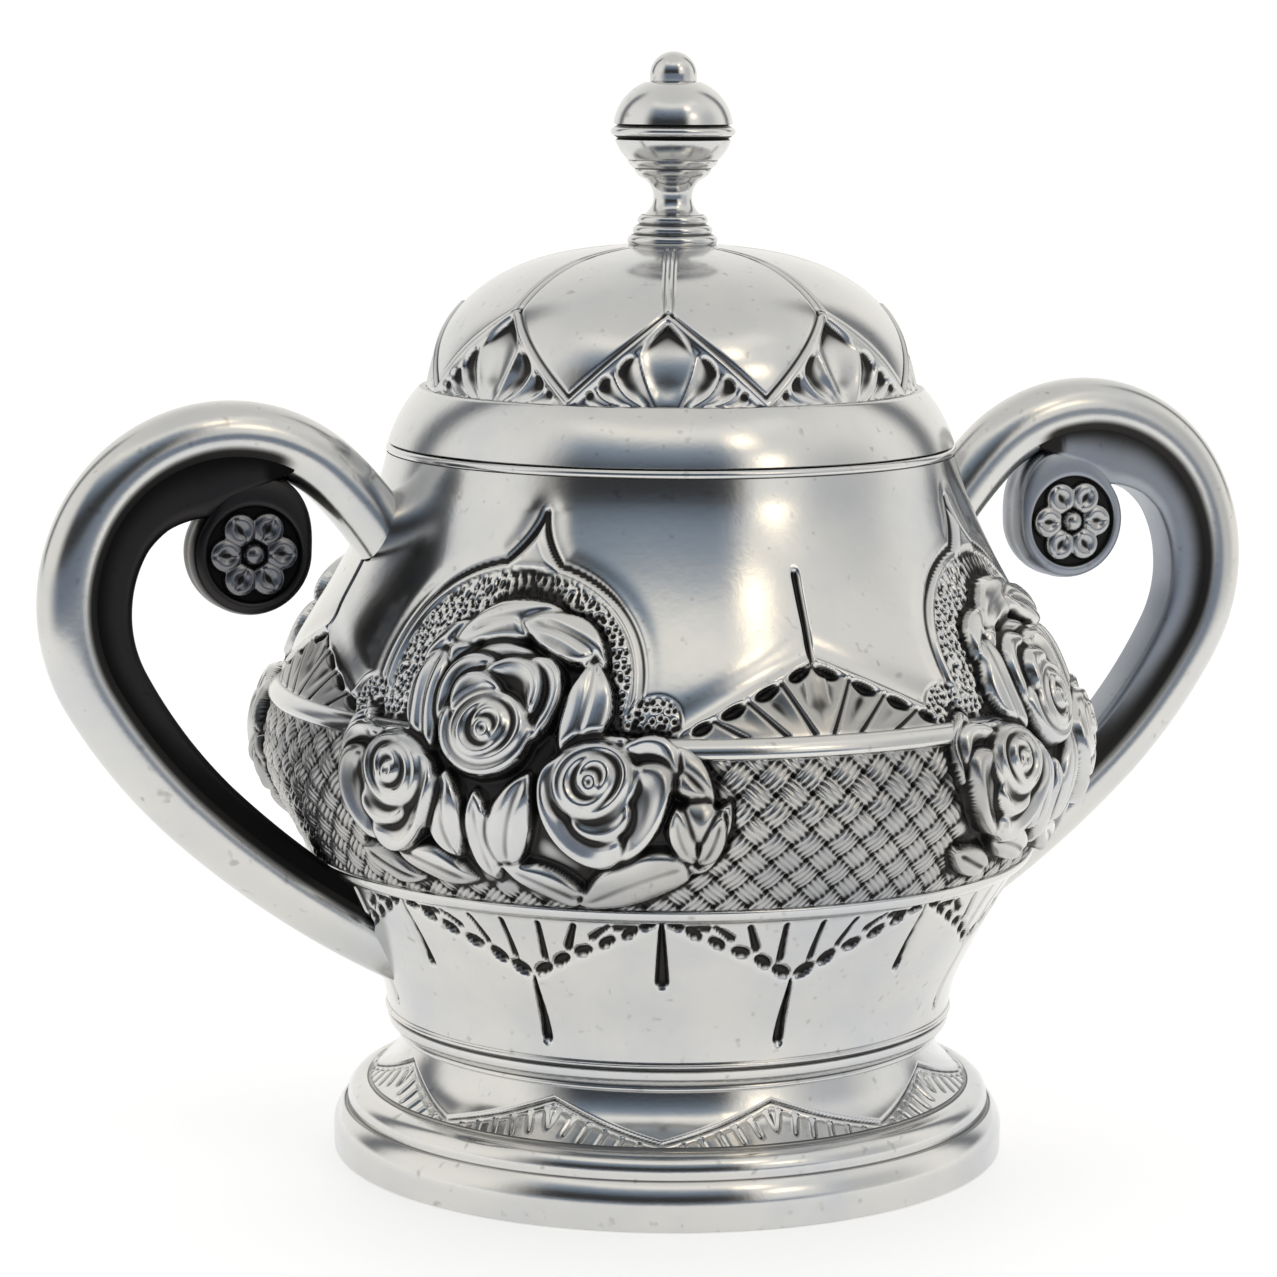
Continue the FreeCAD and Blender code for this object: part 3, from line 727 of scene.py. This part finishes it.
def wire_ring(name, node, z, half, proud):
    """Half-round band wire that sinks under the sprays."""
    cols, across = 720, 11
    angles = np.linspace(0, TAU, cols + 1)
    t = np.linspace(-1, 1, across)
    rows_z = z + half * t
    base = wall_r_at(rows_z)
    turn = from_spray(angles)
    s = wall_s_at(z)
    outside = spray_mask(turn * float(wall_r_at(z)), np.full(turn.shape, s))
    show = ramp(outside, -2.5, 0.5)
    rounding = proud * np.sqrt(np.maximum(1 - t ** 2, 0))
    height = mix(-1.2, 1.0, show)[None, :] * rounding[:, None] - 0.15
    r = base[:, None] + height
    heights = np.broadcast_to(rows_z[:, None], r.shape)
    place = np.stack([r * np.sin(angles), -r * np.cos(angles), heights], -1)
    shade = np.broadcast_to((0.55 * ramp(np.abs(t), 0.75, 1.0))[:, None], r.shape)
    piece = finish_mesh(name, place.reshape(-1, 3), grid_faces(across, cols + 1), shade.ravel())
    weld(piece)
    place_piece(piece, mount_silver, "bowl", node)


wire_ring("wire_above_band", "upper_band_wire", UPPER_WIRE_Z, 1.35, 1.05)
wire_ring("wire_below_band", "lower_band_wire", LOWER_WIRE_Z, 1.0, 0.85)

rim = [(35.5, 94.4), (37.5, 94.4), (37.5, 96.3)]
rim += arc_points((38.4, 96.3), (38.72, 96.85), (38.3, 97.4)) + [(35.5, 97.4)]
turned("mouth_rim", rim, 160, mount_silver, "bowl", "mouth_ring")

# ---------------------------------------------------------------- foot
collar = [(35.3, 16.2), (35.3, 20.5), (38.95, 20.5)]
collar += arc_points((39.0, 20.3), (39.15, 20.0), (38.9, 19.75), 6)
collar += arc_points((38.45, 19.55), (38.4, 19.45), (38.5, 19.35), 5)
collar += arc_points((38.8, 19.2), (38.7, 18.3), (37.9, 17.4), 12)
collar += [(37.4, 17.1), (37.2, 16.95)] + arc_points((37.3, 16.8), (37.35, 16.5), (36.8, 16.2), 7)
shade = [0.6 if 19.3 < z < 19.6 or 16.9 < z < 17.15 else 0.0 for _, z in collar]
turned("collar_ring", collar, 160, mount_silver, "bowl", "foot_collar", cavity=shade)

flare_path, flare_at = smooth_path(FLARE, 44)
for n, name in enumerate(("right", "left")):
    sheet = chased_sheet("foot_flare_" + name, flare_path[::-1], flare_at[::-1],
                         n * math.pi, (n + 1) * math.pi, 721, flare_relief, broad=5.0)
    place_piece(sheet, mount_silver, "bowl", "foot")
mould = arc_points((41.25, 9.98), (41.15, 9.6), (41.6, 9.55), 7)
groove_a = len(mould)
mould += arc_points((41.75, 9.62), (43.55, 8.95), (44.25, 6.6), 16)
groove_b = len(mould)
mould += arc_points((44.3, 6.4), (44.35, 6.15), (44.75, 6.25), 6)
groove_end = len(mould)
mould += arc_points((44.95, 6.3), (45.95, 4.7), (46.2, 2.4), 12)
mould += [(46.2, 0.25), (45.95, 0.0), (45.0, 0.0), (45.0, 3.4)]
mould += arc_points((45.0, 3.5), (41.4, 7.9), (38.6, 9.9), 10)
mould += arc_points((38.4, 10.1), (36.4, 12.4), (35.3, 16.2), 10)
mould += arc_points((36.0, 15.9), (37.5, 12.6), (40.8, 9.5), 9)
shade = [0.45 if n < groove_a or groove_b <= n < groove_end else 0.0 for n in range(len(mould) + 1)]
turned("foot_moulding", mould, 192, mount_silver, "bowl", "foot", cavity=shade)

# ---------------------------------------------------------------- handles
TUBE_START = (38.2, 29.6)
TUBE_HEADING = 27.5
TUBE_ARCS = ((130.0, 15.4), (73.0, 17.0), (23.4, 58.7), (20.7, 106.3), (55.0, 11.7))
TUBE_R = 4.4
TUBE_END_DEPTH = 1.2            # how deep in the wall the tube's ends stop
VOLUTE = (59.6, 84.7)
VOLUTE_R = 8.1
STRAP_HALF = 3.5                # half the strap's width across the handle's plane
SWELL = 2.5                     # how far the volute's edge swells to meet the tube
SWELL_RISE = (35.0, 85.0)       # degrees round the volute, from outward toward up
SWELL_FALL = (108.0, 182.0)
# strap thickness beyond the tube at each heading of the tube's centre line
STRAP_AT = ((27.5, 0.4), (43.0, 1.5), (60.0, 2.5), (90.0, 3.1), (118.0, 3.5), (135.0, 4.1),
            (150.0, 5.0), (163.0, 5.7), (172.0, 5.1), (180.0, 4.3), (186.0, 3.6), (192.0, 2.7),
            (198.0, 1.4), (204.0, -0.3), (209.0, -2.0))


def tube_line(spacing):
    """Points and headings along the tube's centre line."""
    heading = math.radians(TUBE_HEADING)
    x, z = TUBE_START
    places = [(x, z, heading)]
    for radius, turn in TUBE_ARCS:
        turn = math.radians(turn)
        ox, oz = x - radius * math.sin(heading), z + radius * math.cos(heading)
        for t in np.linspace(0, turn, max(3, int(radius * turn / spacing)))[1:]:
            now = heading + t
            places.append((ox + radius * math.sin(now), oz - radius * math.cos(now), now))
        heading += turn
        x, z = places[-1][:2]
    return np.array(places)


def loft(name, rings, shade):
    """Closed sections joined in order, open at both ends, which stop inside other metal."""
    piece = finish_mesh(name, rings.reshape(-1, 3), ring_faces(*rings.shape[:2]), shade.ravel())
    weld(piece)
    piece.data.set_sharp_from_angle(angle=math.radians(50))
    return piece


def sections(side, line, depth, width):
    """Rings across the tube's line: depth runs to the handle's inside, width across its plane."""
    x, z, heading = (column[:, None] for column in line.T)
    return np.stack([side * (x - depth * np.sin(heading)), np.broadcast_to(width, depth.shape),
                     z + depth * np.cos(heading)], axis=-1)


def handle_tube(side, name, line):
    """The round tube, with painted shade on its inner side where the strap lies on it."""
    around = np.linspace(0, TAU, 56, endpoint=False)
    inward = np.cos(around)
    depth = np.broadcast_to(TUBE_R * inward, (len(line), len(around)))
    rings = sections(side, line, depth, TUBE_R * np.sin(around))
    wall_r = wall_r_at(rings[..., 2]) - TUBE_END_DEPTH
    from_axis = np.hypot(rings[..., 0], rings[..., 1])
    rings[..., :2] *= np.maximum(wall_r / from_axis, 1.0)[..., None]     # both ends stop within the wall
    with_strap = 1 - ramp(np.degrees(line[:, 2]), 196, 212)
    # painted shade over the tube's inner side, as far as the strap runs
    inner_side_shade = 0.9 * ramp(inward, 0.12, 0.5)[None, :] * with_strap[:, None]
    tube = loft(name + "_tube", rings, inner_side_shade)
    place_piece(tube, handle_silver, "bowl", name + "_handle_tube")


def handle_strap(side, name, line, strap_silver):
    """The strap along the inside of the tube, with rounded edges."""
    line = line[np.degrees(line[:, 2]) <= STRAP_AT[-1][0]]
    thick = np.interp(np.degrees(line[:, 2]), *zip(*STRAP_AT))
    half, corner = STRAP_HALF, 0.9
    section = [(-1.0, -half), (0.0, -half)]
    for k in range(7):
        t = k / 6 * math.pi / 2
        section.append((1.0 + (math.sin(t) - 1) * corner / 3, -half + corner * (1 - math.cos(t))))
    section += [(u, -v) for u, v in reversed(section)]
    share, width = np.array(section).T
    outer, inner = 2.5, TUBE_R + thick[:, None]
    depth = mix(outer, inner, np.clip(share, 0, 1))
    depth = np.where(share < 0, outer - 1.0, depth)
    shade = 0.85 * (1 - ramp(depth - TUBE_R, 0.2, 1.3))
    band = loft(name + "_strap", sections(side, line, depth, width), shade)
    place_piece(band, strap_silver, "bowl", name + "_handle_scroll")


def volute(side, name, strap_silver):
    """The strap's rolled end: a disc with a sunk seat for a flower on each face."""
    seat, face = 6.3, STRAP_HALF
    outline = [(0, face - 0.7), (seat - 0.15, face - 0.7), (seat, face - 0.5), (seat + 0.1, face - 0.15)]
    outline += arc_points((seat + 0.3, face), (7.3, face - 0.05), (7.7, face - 0.3), 6)
    outline += arc_points((7.8, face - 0.4), (8.05, face - 1.2), (VOLUTE_R, 0), 6)
    outline += [(r, -y) for r, y in reversed(outline[:-1])]
    shade = [0.85 if r < seat + 0.2 else 0.0 for r, _ in outline]
    disc = lathe(name + "_volute", outline, 96, shade)
    for vertex in disc.data.vertices:
        swell(vertex.co, side)
    disc.data.transform(to_volute(side, 1))
    place_piece(disc, strap_silver, "bowl", name + "_handle_scroll")


def swell(place, side):
    """Carry the volute's edge up to the tube at the arch, where the strap curls in."""
    r = math.hypot(place.x, place.y) / MM
    if r < 1:
        return
    turn = math.degrees(math.atan2(place.y, side * place.x)) % 360     # 0 outward, 90 up, 180 inward
    lift = ramp(turn, *SWELL_RISE) * (1 - ramp(turn, *SWELL_FALL)) * ramp(r, 6.5, 8.1)
    grow = 1 + SWELL * float(lift) / r
    place.x *= grow
    place.y *= grow


def to_volute(side, facing):
    centre = Vector((side * VOLUTE[0] * MM, 0, VOLUTE[1] * MM))
    turn = Matrix.Rotation(math.radians(-90 * facing), 4, "X")
    return Matrix.Translation(centre) @ turn.inverted()


def rosette(name):
    """Flower of six round petals about a boss; its back is flat in the volute's seat."""
    ring, petal_r, petals, seat_y = 3.75, 2.35, 6, STRAP_HALF - 0.7
    rho = np.linspace(0, 1, 34)[:, None]
    phi = np.linspace(0, TAU, 193)[None, :]
    off = np.mod(phi + math.pi / petals, TAU / petals) - math.pi / petals
    edge = ring * np.cos(off) + np.sqrt(petal_r ** 2 - (ring * np.sin(off)) ** 2)
    reach = rho * edge
    from_petal = np.hypot(reach * np.cos(off) - ring, reach * np.sin(off)) / petal_r
    h = 1.3 * np.maximum(1 - from_petal ** 2, 0) ** 0.4 - 0.7 * bell(from_petal, 0.42)
    h = np.maximum(h, 0.1) - 0.2 * bell(reach * np.sin(off), 0.28) * bell(from_petal, 0.8)
    boss = 1.0 * np.sqrt(np.maximum(1 - (reach / 1.35) ** 2, 0)) + 0.55
    h = np.where(reach < 1.4, np.maximum(boss, h), h - 0.4 * bell(reach - 1.5, 0.25))
    h = np.maximum(h * (1 - ramp(rho, 0.96, 1.0)), 0.0) + 0.05
    place = np.stack([reach * np.cos(phi), reach * np.sin(phi), seat_y + h], axis=-1)
    shade = 0.15 + 0.85 * np.clip((blur(h, 2.2) - h) / 0.16, 0, 1)
    piece = finish_mesh(name, place.reshape(-1, 3), grid_faces(34, 193)[:, ::-1], shade.ravel())
    weld(piece)
    return piece


def handle(side, name, strap_silver, flower_silver):
    line = tube_line(0.8)
    handle_tube(side, name, line)
    handle_strap(side, name, line, strap_silver)
    volute(side, name, strap_silver)
    for facing, which in ((-1, "front"), (1, "back")):
        flower = rosette(name + "_flower_" + which)
        flower.data.transform(to_volute(side, facing))
        place_piece(flower, flower_silver, "bowl", name + "_rosette_" + which)


handle(-1, "left", left_strap_silver_painted_shade, left_rosette_silver_painted_shade)
handle(1, "right", right_strap_silver, right_rosette_silver)

# ---------------------------------------------------------------- lid
seat_z = 97.55
shoulder = [(35.2, seat_z), (38.2, seat_z)]
shoulder += arc_points((38.4, seat_z + 0.15), (37.1, 100.9), (34.35, 104.9), 22)
shoulder += [(34.15, 105.0), (33.2, 105.0), (32.4, 105.0), (32.4, 103.8)]
shoulder += arc_points((32.5, 103.6), (34.4, 101.6), (35.2, 99.6), 8)
shade = [0.35 if r < 34.3 and z > 104.5 else 0.0 for r, z in shoulder]
turned("lid_rim", shoulder, 192, wall_silver, "lid", "lid_shoulder", cavity=shade)
bezel = [(34.2, 92.0), (35.0, 92.0), (35.2, 92.4), (35.2, 99.6), (34.2, 99.6)]
turned("lid_flange", bezel, 128, inside_silver, "lid", "lid_bezel")

dome_path, dome_at = smooth_path(DOME, 190)
for n, name in enumerate(QUADRANTS):
    sheet = chased_sheet("dome_" + name, dome_path, dome_at, n * FOLD, (n + 1) * FOLD, 231, dome_relief)
    place_piece(sheet, wall_silver, "lid", "lid_dome")
under = [(31.9, 105.0), (30.5, 109.3), (27.7, 113.7), (22.8, 117.8), (15.4, 120.9), (6.0, 122.6)]
under = smooth_path(under, 40)[0]
under = [tuple(p) for p in under] + [(0, 122.8)]
turned("dome_lining", [(33.3, 105.0)] + under, 128, inside_silver, "lid", "lid_dome", closed=False)

# ---------------------------------------------------------------- finial
STUD_R = 1.25
steps = [(STUD_R, 124.1), (6.2, 124.1)]
for low, radius in ((124.2, 6.1), (125.5, 5.4), (126.9, 4.75)):
    steps += arc_points((radius - 0.25, low), (radius, low + 0.6), (radius - 0.3, low + 1.15), 8)
    steps += [(radius - 0.65, low + 1.3)]
shade = [0.0] * 2 + ([0.4] + [0.0] * 7 + [0.7]) * 3
base = steps + [(STUD_R, 128.2)]
shade += [0.0] * (len(base) + 1 - len(shade))
turned("finial_steps", base, 96, mount_silver, "lid", "finial_base", cavity=shade)
stem = [(STUD_R, 128.2)] + arc_points((3.9, 128.2), (2.6, 130.6), (3.85, 132.9), 22) + [(STUD_R, 132.9)]
turned("finial_waist", stem, 96, mount_silver, "lid", "finial_stem")
ball = [(STUD_R, 132.9), (3.9, 132.9)] + arc_points((4.1, 133.05), (4.7, 133.45), (5.15, 134.1), 8)
ball += [(5.1, 134.35), (5.35, 134.45)] + arc_points((5.45, 134.55), (5.85, 134.9), (6.1, 135.35), 5)
ball += [(6.05, 135.5)] + arc_points((6.2, 135.6), (7.2, 136.8), (7.85, 138.2), 14)
ball += [(7.45, 138.4), (STUD_R, 138.4)]
GROOVES = ((5.0, 5.4, 134.2, 134.5), (6.0, 6.1, 135.45, 135.55), (7.0, 7.9, 138.3, 138.5))
shade = [0.6 if any(a < r < b and c < z < d for a, b, c, d in GROOVES) else 0.0 for r, z in ball]
turned("finial_lower_ball", ball, 96, mount_silver, "lid", "finial_ball_lower", cavity=shade)
belt = [(STUD_R, 138.4), (7.45, 138.4), (8.0, 138.75)]
belt += arc_points((8.2, 138.85), (8.42, 139.3), (8.2, 139.8), 10)
belt += [(7.95, 139.9), (7.45, 140.2), (STUD_R, 140.2)]
shade = [0.0 if not 7 < r < 8.05 else 0.75 if z < 139 else 0.4 for r, z in belt]
turned("finial_belt_ring", belt, 96, mount_silver, "lid", "finial_belt", cavity=shade)
ball = [(STUD_R, 140.2), (7.45, 140.2)]
ball += arc_points((8.05, 140.35), (6.85, 143.5), (3.8, 145.9), 26) + [(STUD_R, 145.9)]
turned("finial_upper_ball", ball, 96, mount_silver, "lid", "finial_ball_upper")
CAP_R, CAP_RISE, TOP_Z = 3.15, 3.0, 150.0
sphere_r = (CAP_R ** 2 + CAP_RISE ** 2) / (2 * CAP_RISE)
cap = [(0, 145.9), (CAP_R - 0.05, 145.9), (CAP_R, 146.1), (CAP_R, 147.0)]
for t in np.linspace(math.asin(CAP_R / sphere_r), 0, 16):
    cap.append((sphere_r * math.sin(t), TOP_Z - sphere_r * (1 - math.cos(t))))
turned("finial_button", cap, 96, mount_silver, "lid", "finial_cap")

# CAD shapes kept as they are
for name, material in (("foot_rim_wire", mount_silver), ("finial_stud", brass), ("finial_washer", brass),
                       ("finial_nut", brass)):
    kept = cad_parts[name].data.materials
    kept.clear()
    kept.append(material)

# ---------------------------------------------------------------- studio
CAMERA_AZIMUTH = math.radians(-21.5)
CAMERA_AWAY, CAMERA_HEIGHT = 0.550, 0.1505
CAMERA_PITCH = math.radians(8.246)
CAMERA_ROLL = math.radians(0.35)


FLOOR_R = 0.36
floor_z = cad_low.z - 0.0001
floor_paper = bpy.data.materials.new("floor_paper")
floor_paper.use_nodes = True
floor_shader = floor_paper.node_tree.nodes["Principled BSDF"]
for socket, value in (("Base Color", (0.8, 0.8, 0.8, 1)), ("Roughness", 0.6),
                      ("Emission Color", (1, 1, 1, 1)), ("Emission Strength", 0.45)):
    floor_shader.inputs[socket].default_value = value
disc = bpy.data.meshes.new("floor")
edge = np.linspace(0, TAU, 128, endpoint=False)
disc.from_pydata([(FLOOR_R * math.cos(t), FLOOR_R * math.sin(t), floor_z) for t in edge], [], [range(128)])
disc.materials.append(floor_paper)
floor = bpy.data.objects.new("floor", disc)
bpy.context.scene.collection.objects.link(floor)
floor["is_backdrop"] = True


def direction_maths(tree):
    """World direction as azimuth and elevation in degrees; azimuth 0 is the object's front."""
    def maths(operation, *inputs):
        node = tree.nodes.new("ShaderNodeMath")
        node.operation = operation
        for slot, value in zip(node.inputs, inputs):
            if isinstance(value, (int, float)):
                slot.default_value = value
            else:
                tree.links.new(value, slot)
        return node.outputs[0]

    def smooth(value, low, high):
        node = tree.nodes.new("ShaderNodeMapRange")
        node.interpolation_type = "SMOOTHSTEP"
        tree.links.new(value, node.inputs["Value"])
        node.inputs["From Min"].default_value = low
        node.inputs["From Max"].default_value = high
        return node.outputs[0]

    coord = tree.nodes.new("ShaderNodeTexCoord")
    split = tree.nodes.new("ShaderNodeSeparateXYZ")
    tree.links.new(coord.outputs["Generated"], split.inputs[0])
    x, y, z = split.outputs
    azimuth = maths("MULTIPLY", maths("ARCTAN2", x, maths("MULTIPLY", y, -1.0)), 180 / math.pi)
    elevation = maths("MULTIPLY", maths("ARCSINE", z), 180 / math.pi)
    return maths, smooth, azimuth, elevation


def studio_world():
    """White light tent as the metal sees it, with dark cloths, uprights and warm lamps; the camera
    sees only plain paper."""
    world = bpy.data.worlds.new("studio")
    world.use_nodes = True
    tree = world.node_tree
    background = tree.nodes["Background"]
    maths, smooth, azimuth, elevation = direction_maths(tree)

    def window(value, low, high, soft_low, soft_high):
        return maths("MULTIPLY", smooth(value, low - soft_low, low + soft_low),
                     maths("SUBTRACT", 1.0, smooth(value, high - soft_high, high + soft_high)))

    def patch(sides, ends, soft_sides, soft_ends):
        return maths("MULTIPLY", window(azimuth, *sides, *soft_sides), window(elevation, *ends, *soft_ends))

    def blend(mask, colour_a, colour_b):
        node = tree.nodes.new("ShaderNodeMixRGB")
        tree.links.new(mask, node.inputs["Fac"])
        for slot, colour in ((1, colour_a), (2, colour_b)):
            if isinstance(colour, tuple):
                node.inputs[slot].default_value = (*colour, 1)
            else:
                tree.links.new(colour, node.inputs[slot])
        return node.outputs[0]

    colour = blend(smooth(elevation, 20.0, 75.0), TENT_SIDE, TENT_TOP)
    for sides in STANDS:
        colour = blend(patch(sides, (3.0, 52.0), (6.0, 6.0), (3.0, 10.0)), colour, STAND)
    cloth = blend(smooth(elevation, 19.0, 43.0), CLOTH_LOW, CLOTH_HIGH)
    colour = blend(patch(*CLOTH_PATCH), colour, cloth)
    colour = blend(patch(*HORIZON_PATCH), colour, HORIZON)
    colour = blend(patch(*STRIP_PATCH), colour, STRIP)
    for sides, ends in LAMPS:
        colour = blend(patch(sides, ends, (4.0, 5.0), (3.0, 3.0)), colour, LAMP)
    colour = blend(patch(*FAR_PATCH), colour, FAR_SIDE)
    seen = tree.nodes.new("ShaderNodeLightPath").outputs["Is Camera Ray"]
    tree.links.new(blend(seen, colour, PAPER), background.inputs["Color"])
    bpy.context.scene.world = world


# patches of the tent: azimuths, elevations, and how soft the side and the end edges are, in degrees
CLOTH_PATCH = ((-74.0, 8.0), (4.0, 47.0), (13.0, 6.0), (3.0, 8.0))
HORIZON_PATCH = ((-78.0, 38.0), (-17.0, 6.0), (25.0, 16.0), (8.0, 4.0))
STRIP_PATCH = ((-85.0, 52.0), (51.0, 60.0), (15.0, 12.0), (4.0, 5.0))
FAR_PATCH = ((34.0, 72.0), (-12.0, 34.0), (12.0, 14.0), (8.0, 14.0))
LAMPS = (((17.0, 27.0), (25.0, 34.0)), ((9.0, 20.0), (43.0, 51.0)))
STANDS = ((-151.0, -135.0), (101.0, 115.0))       # azimuths of the dark uprights
TENT_SIDE = (1.05, 1.035, 1.0)
TENT_TOP = (0.80, 0.795, 0.78)
CLOTH_LOW = (0.035, 0.035, 0.036)
CLOTH_HIGH = (0.25, 0.32, 0.41)
HORIZON = (0.19, 0.235, 0.31)
STRIP = (1.12, 1.10, 1.04)
LAMP = (3.3, 2.85, 2.2)
STAND = (0.16, 0.17, 0.19)
FAR_SIDE = (0.66, 0.665, 0.67)
PAPER = (1.06, 1.06, 1.06)      # the backdrop itself, which the tent's cloths don't show on
studio_world()

camera_data = bpy.data.cameras.new("camera")
camera_data.sensor_width = 36.0
camera_data.lens = 114.4
camera_data.shift_x = -0.0247
camera_data.shift_y = -0.0024
camera = bpy.data.objects.new("camera", camera_data)
camera.location = (CAMERA_AWAY * math.sin(CAMERA_AZIMUTH),
                   -CAMERA_AWAY * math.cos(CAMERA_AZIMUTH), CAMERA_HEIGHT)
aim = Euler((math.pi / 2 - CAMERA_PITCH, 0, CAMERA_AZIMUTH)).to_matrix()
aim = aim @ Matrix.Rotation(CAMERA_ROLL, 3, "Z")
camera.rotation_euler = aim.to_euler()
bpy.context.scene.collection.objects.link(camera)
bpy.context.scene.camera = camera
bpy.context.scene.view_settings.view_transform = "Standard"

low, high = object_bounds()
